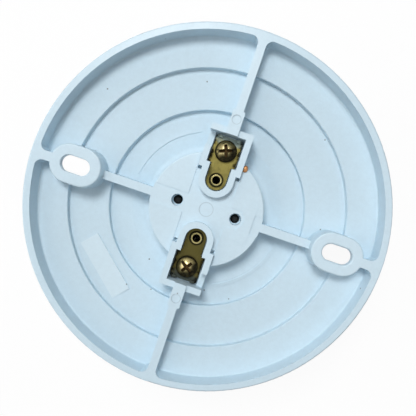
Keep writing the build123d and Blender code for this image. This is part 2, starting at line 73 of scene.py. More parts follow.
# The terminals: how far the brown film on each plate spreads past its usual patches, and its brightness; on
# the lower plate both darken it as painted shade
PLATE_STAIN_AND_SHADE = {"upper": (0.0, 1.0), "lower": (0.06, 0.46)}
ENDS = ("left", "right")
MOUTH_RADIUS = 16.5 * MM

# Heights between which the plastic goes from the floor's matt finish to satin
MATT_DEPTHS = (-4.8 * MM, -3.6 * MM)
SATIN_GLOSS = 0.5
PLASTIC_IOR = 1.5
# Patches of polish on the plastic: how many in each metre, and how far they change its roughness
POLISH_SCALE = 90.0
POLISH_CHANGE = (-0.05, 0.07)
# Faint waves of the plastic in each metre, and their share of its relief, with the grain as the rest
WAVE_SCALE = 160.0
WAVE_SHARE = 0.7
# Share of the broad clouds in the plastic's clouding, with the fine mottles as the rest
CLOUD_SHARE = 0.45
# Distances from a speck's middle, as a share of its cell, between which it fades
SPECK_EDGE = (0.03, 0.08)

# The bare label pad on the floor: distance and direction of its middle from the axis, and half its sizes
LABEL_REACH = 38.3 * MM
LABEL_TURN = math.radians(228)
LABEL_HALF_WIDTH = 3.25 * MM
LABEL_HALF_LENGTH = 10.5 * MM
LABEL_COLOUR = (0.93, 1.0, 1.0, 1.0)

# Round marks that hold dirt: one ejector mark on each long rib, and the gate mark in the middle of the hub
EJECTOR_OFFSET = 29.2 * MM
EJECTOR_RADIUS = 1.4 * MM
GATE_RADIUS = 2.2 * MM
MARKS = (
    ((0, EJECTOR_OFFSET, 0), EJECTOR_RADIUS),
    ((0, -EJECTOR_OFFSET, 0), EJECTOR_RADIUS),
    ((0, 0, 0), GATE_RADIUS),
)
DIRT_EDGE = (0.04 * MM, 0.2 * MM)

# Stretches that draw a metal's lines along Y, and round the part's axis
ALONG_Y = (1, 0.15, 1)
ROUND_Z = (1, 1, 9)
# Brown patches on brass: where in a noise they start and are full, and how much finer their grain is
STAIN_SPAN = (0.42, 0.66)
STAIN_GRAIN = 7
# Drawn lines of brass: how strongly they show, and how dark they are
LINE_SHARE = 0.35
LINE_LEVEL = 0.72
# Painted shade, painted highlights, painted reflection and tarnish with places of their own: their gloss,
# how much they roughen the brass, and their blotches
MARK_GLOSS = 0.04
MARK_ROUGH = 0.15
END_BLOTCH_SCALE = 700.0
END_BLOTCH_REACH = 0.5 * MM
EDGE_BLOTCH_SCALE = 1500.0
# Distances from the middle where the painted reflection with tarnish at a plate's end and the painted shade
# at its sides start and are full
END_REFLECTION_SPAN = (21.2 * MM, 23.0 * MM)
SIDE_SHADE_SPAN = (3.6 * MM, 4.4 * MM)
# Half the width of the painted shadow ring round a rivet's flange
SHADOW_RING_HALF_WIDTH = 0.35 * MM
# A screw's head: the soft edge of its black ring of painted shade, and where along the lean the painted
# shade starts and is full
SHADE_RING_EDGE = 0.4 * MM
SHADE_LEAN = (-0.4 * MM, 0.9 * MM)
# The painted highlight on a screw's head: its spans from the axis outwards and along the lean, and its
# patches
HIGHLIGHT_SPAN = (1.2 * MM, 2.7 * MM)
HIGHLIGHT_LEAN = (-1.2 * MM, 1.2 * MM)
HIGHLIGHT_SCALE = 900.0
# A screw's recess: how far it reaches, and the depths where its black painted shade and its brown film are
# full and start
RECESS_REACH = 2.5 * MM
RECESS_SHADE_DEPTHS = (1.1 * MM, 0.5 * MM)
BROWN_DEPTHS = (1.7 * MM, 1.2 * MM)
# Plated metal: brightness of its duller clouds, and how soon a screw's tip darkens as painted shade of the
# hole it stands in, and how much rougher it gets
CLOUD_LEVEL = 0.86
TIP_SHADE_EDGE = 1 * MM
TIP_ROUGH = 0.3

# Corners of the lamp thread round the shell and along one pitch, and the share of a pitch that it fades in
THREAD_STEPS = 144
ROWS_IN_PITCH = 16
THREAD_LEAD = 0.45

# Direction of each lamp in degrees: round from +X, and up from the floor
KEY_AT = (124.0, 61.0)
WINDOW_AT = (195.0, 32.0)
RIM_AT = (355.0, 66.0)
# The floor's paper: how fine its grain is, and the whites between which it varies
PAPER_SCALE = 900.0
PAPER_WHITE = (0.93, 0.96)

# Parts of a noise's range that hold most of its values
NOISE_SPAN = (0.3, 0.7)
CLOUD_SPAN = (0.35, 0.65)


class Tree:
    """Adds nodes to a node tree and joins them, with each socket given by its name or number."""

    def __init__(self, tree):
        self.tree = tree
        self.tree.nodes.clear()

    def put(self, socket, value):
        """Feed a socket from another node's output, or set it to a fixed value."""
        if isinstance(value, bpy.types.NodeSocket):
            self.tree.links.new(value, socket)
        else:
            socket.default_value = value

    def add(self, kind, sockets=None, **settings):
        """New node with its settings made and its sockets fed."""
        node = self.tree.nodes.new(kind)
        for name, value in settings.items():
            setattr(node, name, value)
        for name, value in (sockets or {}).items():
            self.put(node.inputs[name], value)
        return node

    def place(self, stretch=(1, 1, 1)):
        """Coordinates of the piece in metres, stretched along its axes."""
        where = self.add("ShaderNodeTexCoord").outputs["Object"]
        return self.add("ShaderNodeMapping", {"Vector": where, "Scale": stretch}).outputs["Vector"]

    def split(self, vector):
        """The X, Y and Z of a vector, by name."""
        return self.add("ShaderNodeSeparateXYZ", {"Vector": vector}).outputs

    def noise(self, where, scale, detail=2.0, rough=0.5):
        """Smooth noise from 0 to 1, most of it near 0.5."""
        sockets = {"Vector": where, "Scale": scale, "Detail": detail, "Roughness": rough}
        return self.add("ShaderNodeTexNoise", sockets).outputs["Fac"]

    def spread(self, value, low, high, start, end):
        """Map a value between low and high onto start to end, held there outside."""
        sockets = {"Value": value, "From Min": low, "From Max": high, "To Min": start, "To Max": end}
        return self.add("ShaderNodeMapRange", sockets).outputs["Result"]

    def maths(self, operation, *values):
        """Result of one operation on the values."""
        return self.add("ShaderNodeMath", dict(enumerate(values)), operation=operation).outputs["Value"]

    def vectors(self, operation, *values):
        """Outputs of one operation on the vectors, by name."""
        return self.add("ShaderNodeVectorMath", dict(enumerate(values)), operation=operation).outputs

    def blend(self, share, first, second):
        """Colour that goes from the first to the second as the share rises."""
        node = self.add("ShaderNodeMix", {"Factor": share}, data_type="RGBA")
        colours = [socket for socket in node.inputs if socket.type == "RGBA"]
        self.put(colours[0], first)
        self.put(colours[1], second)
        return next(socket for socket in node.outputs if socket.type == "RGBA")

    def bump(self, height, depth):
        """Normal of a relief that is a depth in metres high."""
        return self.add("ShaderNodeBump", {"Height": height, "Distance": depth}).outputs["Normal"]

    def finish(self, colour, rough, normal, **others):
        """End the tree in one shader, with more of its sockets given by name."""
        sockets = {"Base Color": colour, "Roughness": rough, "Normal": normal}
        for name, value in others.items():
            sockets[name.replace("_", " ")] = value
        shader = self.add("ShaderNodeBsdfPrincipled", sockets)
        self.add("ShaderNodeOutputMaterial", {"Surface": shader.outputs["BSDF"]})


def opaque(colour, level=1.0):
    """Colour with its brightness changed and full cover."""
    return (colour[0] * level, colour[1] * level, colour[2] * level, 1.0)


def new_material(name):
    """New material, and the empty node tree to build it in."""
    material = bpy.data.materials.new(name)
    material.use_nodes = True
    return material, Tree(material.node_tree)


def from_axis(tree, where, axis):
    """Vector from an upright axis to the place, and its length."""
    offset = tree.vectors("SUBTRACT", where, axis)["Vector"]
    flat = tree.vectors("MULTIPLY", offset, (1, 1, 0))["Vector"]
    return flat, tree.vectors("LENGTH", flat)["Value"]


def off_ring(tree, where, axis, radius):
    """How far the place lies inside or outside a ring round an upright axis."""
    reach = from_axis(tree, where, axis)[1]
    return tree.maths("ABSOLUTE", tree.maths("SUBTRACT", reach, radius))


def label_field(tree, where):
    """1 on the bare label pad of the floor, and 0 beside it."""
    sockets = {"Vector": where, "Angle": -LABEL_TURN}
    turned = tree.add("ShaderNodeVectorRotate", sockets, rotation_type="Z_AXIS").outputs["Vector"]
    place = tree.split(turned)
    outwards = tree.maths("ABSOLUTE", tree.maths("SUBTRACT", place["X"], LABEL_REACH))
    across = tree.maths("ABSOLUTE", place["Y"])
    within = tree.maths("LESS_THAN", outwards, LABEL_HALF_WIDTH)
    return tree.maths("MULTIPLY", within, tree.maths("LESS_THAN", across, LABEL_HALF_LENGTH))


def clouded(tree, where, settings):
    """Colour of the plastic with its flow clouds and mottles, whiter on the label pad."""
    clouds = tree.noise(where, settings.cloud_scale, 3.0)
    mottle = tree.noise(where, settings.mottle_scale, 3.0, 0.7)
    broad = tree.spread(clouds, *CLOUD_SPAN, 0.0, CLOUD_SHARE)
    fine = tree.spread(mottle, *CLOUD_SPAN, 0.0, 1 - CLOUD_SHARE)
    darker = opaque(settings.colour, 1 - settings.cloud_depth)
    colour = tree.blend(tree.maths("ADD", broad, fine), darker, opaque(settings.colour))
    lift = tree.maths("MULTIPLY", label_field(tree, where), settings.label_lift)
    return tree.blend(lift, colour, LABEL_COLOUR)


def specked(tree, where, colour, settings):
    """The colour with a dark speck in the middle of some of the cells that fill the plastic."""
    cells = tree.add("ShaderNodeTexVoronoi", {"Vector": where, "Scale": settings.speck_scale}).outputs
    chosen = tree.add("ShaderNodeSeparateColor", {"Color": cells["Color"]}).outputs["Red"]
    near = tree.spread(cells["Distance"], *SPECK_EDGE, 1.0, 0.0)
    speck = tree.maths("MULTIPLY", near, tree.maths("GREATER_THAN", chosen, 1 - settings.speck_share))
    return tree.blend(speck, colour, opaque(settings.speck_colour))


def marked(tree, where, colour, settings):
    """The colour with dirt along the edges of the round marks."""
    for middle, radius in MARKS:
        away = off_ring(tree, where, middle, radius)
        dirt = tree.spread(away, *DIRT_EDGE, settings.dirt, 0.0)
        colour = tree.blend(dirt, colour, opaque(settings.speck_colour))
    return colour


def moulded_plastic(settings):
    """Satin moulded plastic, matt on the sunk floor, with a fine grain on faint waves."""
    material, tree = new_material("moulded_plastic")
    where = tree.place()
    colour = clouded(tree, where, settings)
    colour = specked(tree, where, colour, settings)
    colour = marked(tree, where, colour, settings)
    depth = tree.split(where)["Z"]
    finish = tree.spread(depth, *MATT_DEPTHS, settings.matt_rough, settings.rough)
    uneven = tree.spread(tree.noise(where, POLISH_SCALE, 4.0), *NOISE_SPAN, *POLISH_CHANGE)
    gloss = tree.spread(depth, *MATT_DEPTHS, settings.matt_gloss, SATIN_GLOSS)
    grain = tree.noise(where, settings.grain_scale, 4.0, 0.6)
    waves = tree.noise(where, WAVE_SCALE, 2.0)
    waves = tree.maths("MULTIPLY", waves, WAVE_SHARE)
    relief = tree.maths("ADD", waves, tree.maths("MULTIPLY", grain, 1 - WAVE_SHARE))
    normal = tree.bump(relief, settings.grain_depth)
    rough = tree.maths("ADD", finish, uneven)
    tree.finish(colour, rough, normal, IOR=PLASTIC_IOR, Specular_IOR_Level=gloss)
    return material


def brass(name, settings, colour, rough, stretch=(1, 1, 1), film=0.0, gathered=()):
    """Tarnished brass: patches of brown film, fine drawn lines and uneven polish.

    film widens the patches; for the lower plate that darkening is painted shade. gathered is for painted
    shade, painted highlights, painted reflection and tarnish with places of their own: each has a colour,
    how far it hides the metal, and a function of the tree and the place that gives its share.
    """
    material, tree = new_material(name)
    where = tree.place()
    patches = tree.noise(where, settings.stain_scale, 5.0, 0.62)
    start, full = (edge - film for edge in STAIN_SPAN)
    share = tree.spread(patches, start, full, 0.0, 1.0)
    fine = tree.noise(where, settings.stain_scale * STAIN_GRAIN, 3.0, 0.6)
    share = tree.maths("MULTIPLY", share, tree.spread(fine, 0.25, 0.65, 0.45, 1.0))
    tone = tree.blend(share, opaque(colour), opaque(settings.stain_colour))
    lines = tree.noise(tree.place(stretch), settings.grain_scale, 3.0, 0.65)
    drawn = tree.spread(lines, *NOISE_SPAN, 0.0, LINE_SHARE)
    tone = tree.blend(drawn, tone, opaque(colour, LINE_LEVEL))
    uneven = tree.spread(patches, *NOISE_SPAN, rough - 0.07, rough + 0.12)
    metal = 1.0
    for mark_colour, dull, cover in gathered:
        covered = cover(tree, where)
        tone = tree.blend(covered, tone, opaque(mark_colour))
        uneven = tree.maths("ADD", uneven, tree.maths("MULTIPLY", covered, MARK_ROUGH))
        metal = tree.maths("SUBTRACT", metal, tree.maths("MULTIPLY", covered, dull))
    metal = tree.maths("MAXIMUM", metal, 0.0)
    normal = tree.bump(lines, settings.grain_depth)
    tree.finish(tone, uneven, normal, Metallic=metal, Specular_IOR_Level=MARK_GLOSS)
    return material


def outward_light_and_tarnish(axis, start, end, most):
    """Colour that gathers outwards along the part's X or Y, in blotches: painted shade at a plate's sides,
    and painted reflection with tarnish at its end.
    """
    def cover(tree, where):
        out = tree.maths("ABSOLUTE", tree.split(where)[axis])
        noise = tree.noise(where, END_BLOTCH_SCALE, 4.0)
        blotch = tree.spread(noise, 0.38, 0.58, -END_BLOTCH_REACH, END_BLOTCH_REACH)
        return tree.spread(tree.maths("ADD", out, blotch), start, end, 0.0, most)
    return cover


def flange_shadow(axis, radius, half_width):
    """Painted shadow in a ring round an upright axis, as a rivet's flange casts."""
    def cover(tree, where):
        away = off_ring(tree, where, axis, radius)
        return tree.spread(away, half_width / 2, half_width, 0.85, 0.0)
    return cover


def leaning(tree, where, axis, settings):
    """Distance of the place from a screw's axis, and how far it lies towards the side of the painted shade.
    """
    flat, reach = from_axis(tree, where, axis)
    towards = (math.cos(settings.shade_side), math.sin(settings.shade_side), 0)
    return reach, tree.vectors("DOT_PRODUCT", flat, towards)["Value"]


def head_shade(axis, settings):
    """Painted shade towards the edge of a round head: a black ring at its edge and a crescent thicker to
    one side.
    """
    def cover(tree, where):
        reach, lean = leaning(tree, where, axis, settings)
        ring = tree.spread(reach, settings.shade_ring_start, settings.shade_ring_start + SHADE_RING_EDGE, 0.0, 1.0)
        outer = tree.spread(reach, settings.shade_start, settings.shade_end, 0.0, 1.0)
        crescent = tree.maths("MULTIPLY", outer, tree.spread(lean, *SHADE_LEAN, 0.0, 1.0))
        blotch = tree.spread(tree.noise(where, EDGE_BLOTCH_SCALE, 3.0), 0.3, 0.6, 0.8, 1.0)
        return tree.maths("MULTIPLY", tree.maths("MAXIMUM", ring, crescent), blotch)
    return cover


def recess_highlight(axis, settings):
    """Painted highlight round a recess, on the side away from the painted shade."""
    def cover(tree, where):
        reach, lean = leaning(tree, where, axis, settings)
        share = tree.spread(reach, *HIGHLIGHT_SPAN, 1.0, 0.0)
        share = tree.maths("MULTIPLY", share, tree.spread(lean, *HIGHLIGHT_LEAN, 1.0, 0.25))
        painted_share = tree.spread(tree.noise(where, HIGHLIGHT_SCALE, 3.0), 0.36, 0.52, 0.3, 1.0)
        return tree.maths("MULTIPLY", share, painted_share)
    return cover


def recess_shade_and_film(axis, top, deep, shallow):
    """Colour in a head's recess by depth below its top, full at the deeper depth and none at the shallower:
    used for black painted shade and for the brown film on its floor.
    """
    def cover(tree, where):
        reach = from_axis(tree, where, axis)[1]
        share = tree.spread(tree.split(where)["Z"], top - deep, top - shallow, 1.0, 0.0)
        return tree.maths("MULTIPLY", share, tree.maths("LESS_THAN", reach, RECESS_REACH))
    return cover


def plated(name, settings, colour, rough, shade_from=None):
    """Bright plated metal: faint clouds in the polish and fine drawing lines, with painted shade and more
    roughness above a height.
    """
    material, tree = new_material(name)
    where = tree.place()
    clouds = tree.noise(where, settings.cloud_scale, 4.0)
    bright = tree.spread(clouds, *NOISE_SPAN, 0.0, 1.0)
    tone = tree.blend(bright, opaque(colour, CLOUD_LEVEL), opaque(colour))
    lines = tree.noise(tree.place(ROUND_Z), settings.line_scale, 3.0, 0.6)
    uneven = tree.spread(clouds, *NOISE_SPAN, rough - 0.05, rough + 0.1)
    if shade_from is not None:
        painted_share = tree.spread(tree.split(where)["Z"], shade_from, shade_from + TIP_SHADE_EDGE, 0.0, 1.0)
        tone = tree.blend(painted_share, tone, opaque(settings.tip_shade_colour))
        uneven = tree.maths("ADD", uneven, tree.maths("MULTIPLY", painted_share, TIP_ROUGH))
    tree.finish(tone, uneven, tree.bump(lines, settings.line_depth), Metallic=1.0)
    return material


def wear(node, material):
    """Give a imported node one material, in every slot that it has."""
    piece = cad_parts[node]
    if not piece.material_slots:
        piece.data.materials.append(material)
    for place in piece.material_slots:
        place.material = material


def piece_from(name, corners, faces, material, smooth=True):
    """New mesh piece from corners in metres and the faces between them."""
    mesh = bpy.data.meshes.new(name)
    mesh.from_pydata(corners, [], faces)
    mesh.validate()
    mesh.polygons.foreach_set("use_smooth", [smooth] * len(mesh.polygons))
    mesh.materials.append(material)
    piece = bpy.data.objects.new(name, mesh)
    bpy.context.scene.collection.objects.link(piece)
    return piece


def smooth_step(value):
    """Ease from 0 to 1 as the value goes from 0 to 1."""
    held = min(max(value, 0.0), 1.0)
    return held * held * (3 - 2 * held)


def on_circle(radius, turn, height):
    """Corner at a share of a whole turn round the part's axis."""
    angle = 2 * math.pi * turn
    return radius * math.cos(angle), radius * math.sin(angle), height


def threaded_sleeve(name, settings, top, bottom, material):
    """Rolled thread on the inside of the lamp shell, closed by a plain wall inside the sheet."""
    rows = math.ceil((top - bottom) / settings.pitch * ROWS_IN_PITCH)
    lead = settings.pitch * THREAD_LEAD
    turns = [step / THREAD_STEPS for step in range(THREAD_STEPS)]
    corners = []
    for row in range(rows + 1):
        height = top + (bottom - top) * row / rows
        fade = smooth_step((top - height) / lead) * smooth_step((height - bottom) / lead)
        for turn in turns:
            ridge = 0.5 + 0.5 * math.cos(2 * math.pi * (height / settings.pitch - turn))
            radius = settings.bore - settings.thread_depth * ridge * fade
            corners.append(on_circle(radius, turn, height))
    last = rows * THREAD_STEPS
    upper = len(corners)
    lower = upper + THREAD_STEPS
    outside = settings.bore + settings.sheet / 2
    for height in (top, bottom):
        corners.extend(on_circle(outside, turn, height) for turn in turns)
    faces = []
    for step in range(THREAD_STEPS):
        after = (step + 1) % THREAD_STEPS
        for low in range(0, last, THREAD_STEPS):
            high = low + THREAD_STEPS
            faces.append((low + step, high + step, high + after, low + after))
        faces.append((upper + step, upper + after, lower + after, lower + step))
        faces.append((step, after, upper + after, upper + step))
        faces.append((last + after, last + step, lower + step, lower + after))
    return piece_from(name, corners, faces, material)


def pebble(name, middle, size, material):
    """Small rounded bead, a little uneven."""
    around = 20
    down = 12
    reach_x, reach_y, reach_z = (extent / 2 for extent in size)
    corners = [(middle[0], middle[1], middle[2] + reach_z)]
    for row in range(1, down):
        tilt = math.pi * row / down
        for step in range(around):
            turn = 2 * math.pi * step / around
            bulge = 0.1 * math.sin(2 * turn + 1.1) * math.sin(tilt)
            swell = 1 + bulge + 0.06 * math.sin(3 * turn + 2 * tilt)
            corners.append((
                middle[0] + reach_x * swell * math.sin(tilt) * math.cos(turn),
                middle[1] + reach_y * swell * math.sin(tilt) * math.sin(turn),
                middle[2] + reach_z * math.cos(tilt),
            ))
    corners.append((middle[0], middle[1], middle[2] - reach_z))
    last = len(corners) - 1
    faces = []
    for step in range(around):
        after = (step + 1) % around
        faces.append((0, 1 + step, 1 + after))
        for row in range(down - 2):
            low = 1 + row * around
            high = low + around
            faces.append((low + step, high + step, high + after, low + after))
        faces.append((last, last - around + after, last - around + step))
    return piece_from(name, corners, faces, material)


class PlasticSettings(bpy.types.PropertyGroup):
    """Finish of the moulded base."""

    colour: FloatVectorProperty(
        name="Colour", description="Bluish white of the moulding", subtype="COLOR", size=3,
        default=(0.592, 0.742, 0.835), min=0.0, max=1.0)
    cloud_scale: FloatProperty(
        name="Cloud Scale", description="Flow clouds in each metre", default=38.0)
    cloud_depth: FloatProperty(
        name="Cloud Depth", description="How much darker the flow clouds are", subtype="FACTOR",
        default=0.07)
    mottle_scale: FloatProperty(
        name="Mottle Scale", description="Fine mottles in each metre", default=650.0)
    label_lift: FloatProperty(
        name="Label Lift", description="How far the label pad is lifted to white", subtype="FACTOR",
        default=0.15)
    speck_colour: FloatVectorProperty(
        name="Speck Colour", description="Colour of the dark specks", subtype="COLOR", size=3,
        default=(0.12, 0.13, 0.13), min=0.0, max=1.0)
    speck_scale: FloatProperty(
        name="Speck Scale", description="Cells in each metre that may hold a speck", default=240.0)
    speck_share: FloatProperty(
        name="Speck Share", description="Share of the cells with a speck", subtype="FACTOR", default=0.12)
    dirt: FloatProperty(
        name="Dirt", description="Dirt held in the round marks", subtype="FACTOR", default=0.24)
    rough: FloatProperty(
        name="Roughness", description="Roughness of the satin rim, ribs and hub", subtype="FACTOR",
        default=0.4)
    matt_rough: FloatProperty(
        name="Matt Roughness", description="Roughness of the sunk floor", subtype="FACTOR", default=0.6)
    matt_gloss: FloatProperty(
        name="Matt Gloss", description="Specular level of the sunk floor", subtype="FACTOR", default=0.22)
    grain_scale: FloatProperty(
        name="Grain Scale", description="Grains in each metre", default=2600.0)
    grain_depth: FloatProperty(
        name="Grain Depth", description="Depth of the grain and of the faint waves", default=0.085 * MM,
        subtype="DISTANCE", unit="LENGTH", precision=6)


class BrassSettings(bpy.types.PropertyGroup):
    """Finish of the terminals."""

    plate_colour: FloatVectorProperty(
        name="Plate Colour", description="Dull yellow of the plates", subtype="COLOR", size=3,
        default=(0.175, 0.15, 0.045), min=0.0, max=1.0)
    screw_colour: FloatVectorProperty(
        name="Screw Colour", description="Darker brass of the screws", subtype="COLOR", size=3,
        default=(0.22, 0.185, 0.08), min=0.0, max=1.0)
    rivet_colour: FloatVectorProperty(
        name="Rivet Colour", description="Lighter brass of the rivets", subtype="COLOR", size=3,
        default=(0.44, 0.38, 0.17), min=0.0, max=1.0)
    stain_colour: FloatVectorProperty(
        name="Stain Colour", description="Brown film on the brass", subtype="COLOR", size=3,
        default=(0.075, 0.066, 0.024), min=0.0, max=1.0)
    # Black of the painted shade on the screws' heads and recesses, and round the plates' sides and rivets
    shade_black_colour: FloatVectorProperty(
        name="Shade Black Colour", description="Black tarnish at edges and in corners", subtype="COLOR", size=3,
        default=(0.008, 0.007, 0.004), min=0.0, max=1.0)
    recess_colour: FloatVectorProperty(
        name="Recess Colour", description="Copper brown floor of the screw recesses", subtype="COLOR",
        size=3, default=(0.11, 0.065, 0.024), min=0.0, max=1.0)
    # Painted reflection of the bluish pocket wall, with tarnish, at the plates' outer ends
    end_reflection_colour: FloatVectorProperty(
        name="End Reflection Colour", description="Grey green film at the outer ends of the plates", subtype="COLOR",
        size=3, default=(0.24, 0.31, 0.30), min=0.0, max=1.0)
    stain_scale: FloatProperty(
        name="Stain Scale", description="Stained patches in each metre", default=330.0)
    # Painted highlight round the screw recesses, brightest on the side away from the painted shade
    highlight_colour: FloatVectorProperty(
        name="Highlight Colour", description="Bare brass round the screw recesses", subtype="COLOR", size=3,
        default=(0.62, 0.52, 0.27), min=0.0, max=1.0)
    # Painted shadow: the black ring round a rivet's flange
    rivet_shadow_radius: FloatProperty(
        name="Rivet Shadow", description="Radius of the black ring round a rivet's flange",
        default=2.1 * MM, subtype="DISTANCE", unit="LENGTH", precision=5)
    # The next four settings place painted shade on a screw's head: a black ring at its edge, and a black
    # crescent thickest to one side.
    shade_ring_start: FloatProperty(
        name="Shade Ring Start", description="Where the black ring round a screw's head starts, from its axis",
        default=2.75 * MM, subtype="DISTANCE", unit="LENGTH", precision=5)
    shade_start: FloatProperty(
        name="Shade Start", description="Where the black film on a screw's head starts, from its axis",
        default=0.5 * MM, subtype="DISTANCE", unit="LENGTH", precision=5)
    shade_end: FloatProperty(
        name="Shade End", description="Where the black film is full, from the screw's axis",
        default=2.1 * MM, subtype="DISTANCE", unit="LENGTH", precision=5)
    shade_side: FloatProperty(
        name="Shade Side", description="Side of the head where the black film is thickest", subtype="ANGLE",
        unit="ROTATION", default=math.radians(322))
    copper_colour: FloatVectorProperty(
        name="Copper Colour", description="Orange brown of the loose bit of copper", subtype="COLOR",
        size=3, default=(0.44, 0.21, 0.095), min=0.0, max=1.0)
    bit_place: FloatVectorProperty(
        name="Bit Place", description="Middle of the bit of copper", size=3, subtype="TRANSLATION",
        unit="LENGTH", default=(7.5 * MM, 15.9 * MM, -2.75 * MM), precision=5)
    grain_scale: FloatProperty(
        name="Grain Scale", description="Drawn lines in each metre", default=3600.0)
    grain_depth: FloatProperty(
        name="Grain Depth", description="Depth of the drawn lines", default=0.015 * MM,
        subtype="DISTANCE", unit="LENGTH", precision=6)


class ShellSettings(bpy.types.PropertyGroup):
    """Lamp shell, its thread and what holds it."""

    bore: FloatProperty(
        name="Bore", description="Radius inside the shell at the thread's root", default=13.25 * MM,
        subtype="DISTANCE", unit="LENGTH", precision=5)
    sheet: FloatProperty(
        name="Sheet", description="Thickness of the shell", default=0.35 * MM,
        subtype="DISTANCE", unit="LENGTH", precision=5)
    pitch: FloatProperty(
        name="Pitch", description="Pitch of the lamp thread", default=3.629 * MM,
        subtype="DISTANCE", unit="LENGTH", precision=5)
    thread_depth: FloatProperty(
        name="Thread Depth", description="Height of the rolled thread", default=1.05 * MM,
        subtype="DISTANCE", unit="LENGTH", precision=5)
    thread_top: FloatProperty(
        name="Thread Top", description="Where the thread starts, below the neck", default=-14.3 * MM,
        subtype="DISTANCE", unit="LENGTH", precision=5)
    thread_margin: FloatProperty(
        name="Thread Margin", description="Plain wall left above the shell's mouth", default=0.9 * MM,
        subtype="DISTANCE", unit="LENGTH", precision=5)
    colour: FloatVectorProperty(
        name="Colour", description="Nickel plating of the shell", subtype="COLOR", size=3,
        default=(0.62, 0.60, 0.55), min=0.0, max=1.0)
    steel_colour: FloatVectorProperty(
        name="Steel Colour", description="Zinc plating of the shell screws", subtype="COLOR", size=3,
        default=(0.36, 0.36, 0.35), min=0.0, max=1.0)
    # Painted shade on the shell screws' tips, which stand in the hub's dark holes
    tip_shade_colour: FloatVectorProperty(
        name="Tip Shade Colour", description="Dark tips of the shell screws", subtype="COLOR", size=3,
        default=(0.028, 0.030, 0.030), min=0.0, max=1.0)
    spring_colour: FloatVectorProperty(
        name="Spring Colour", description="Rolled brass of the centre contact", subtype="COLOR", size=3,
        default=(0.58, 0.43, 0.19), min=0.0, max=1.0)
    cloud_scale: FloatProperty(
        name="Cloud Scale", description="Clouds in the polish in each metre", default=120.0)
    line_scale: FloatProperty(
        name="Line Scale", description="Drawing lines in each metre", default=900.0)
    line_depth: FloatProperty(
        name="Line Depth", description="Depth of the drawing lines", default=0.01 * MM,
        subtype="DISTANCE", unit="LENGTH", precision=6)


class StageSettings(bpy.types.PropertyGroup):
    """Floor, lamps and camera."""

    floor_size: FloatProperty(
        name="Floor Size", description="Width of the floor", default=6.0, subtype="DISTANCE",
        unit="LENGTH")
    floor_white: FloatProperty(
        name="Floor White", description="How far the floor is lifted to white where it is seen",
        subtype="FACTOR", default=0.92)
    sky: FloatProperty(
        name="Sky", description="Share of the light that comes evenly from all round", default=0.215)
    key: FloatProperty(
        name="Key", description="Share of the light that the upper-left lamp gives", default=0.57)
    window: FloatProperty(
        name="Window", description="Share of the light that the broad low lamp on the left gives",
        default=0.15)
    rim: FloatProperty(
        name="Rim", description="Share of the light that the near lamp on the right gives", default=0.09)
    rim_distance: FloatProperty(
        name="Rim Lamp Distance", description="Distance of the right-hand lamp from the part", default=0.4,
        subtype="DISTANCE", unit="LENGTH")
    rim_size: FloatProperty(
        name="Rim Lamp Size", description="Width of the right-hand lamp", default=0.16, subtype="DISTANCE",
        unit="LENGTH")
    lamp_distance: FloatProperty(
        name="Lamp Distance", description="Distance of the other lamps from the part", default=1.0,
        subtype="DISTANCE", unit="LENGTH")
    lamp_size: FloatProperty(
        name="Lamp Size", description="Width of the key lamp", default=0.32, subtype="DISTANCE",
        unit="LENGTH")
    window_size: FloatProperty(
        name="Window Size", description="Width of the low lamp", default=0.8, subtype="DISTANCE",
        unit="LENGTH")
    camera_place: FloatVectorProperty(
        name="Camera Place", description="Where the camera stands", size=3, subtype="TRANSLATION",
        unit="LENGTH", default=(1.105 * MM, 6.728 * MM, 128.605 * MM), precision=5)
    camera_turn: FloatVectorProperty(
        name="Camera Turn", description="How the camera is turned from looking straight down", size=3,
        subtype="EULER", unit="ROTATION",
        default=(math.radians(-2.405), math.radians(1.141), math.radians(18.771)))
    lens: FloatProperty(
        name="Lens", description="Focal length in millimetres on a 36 mm wide frame", default=36.164)


class LAMPHOLDER_OT_base(bpy.types.Operator):
    """Give the moulding its satin bluish white plastic"""

    bl_idname = "lampholder.base"
    bl_label = "Dress Base"

    def execute(self, context):
        wear("base", moulded_plastic(context.scene.lampholder_plastic))
        return {"FINISHED"}


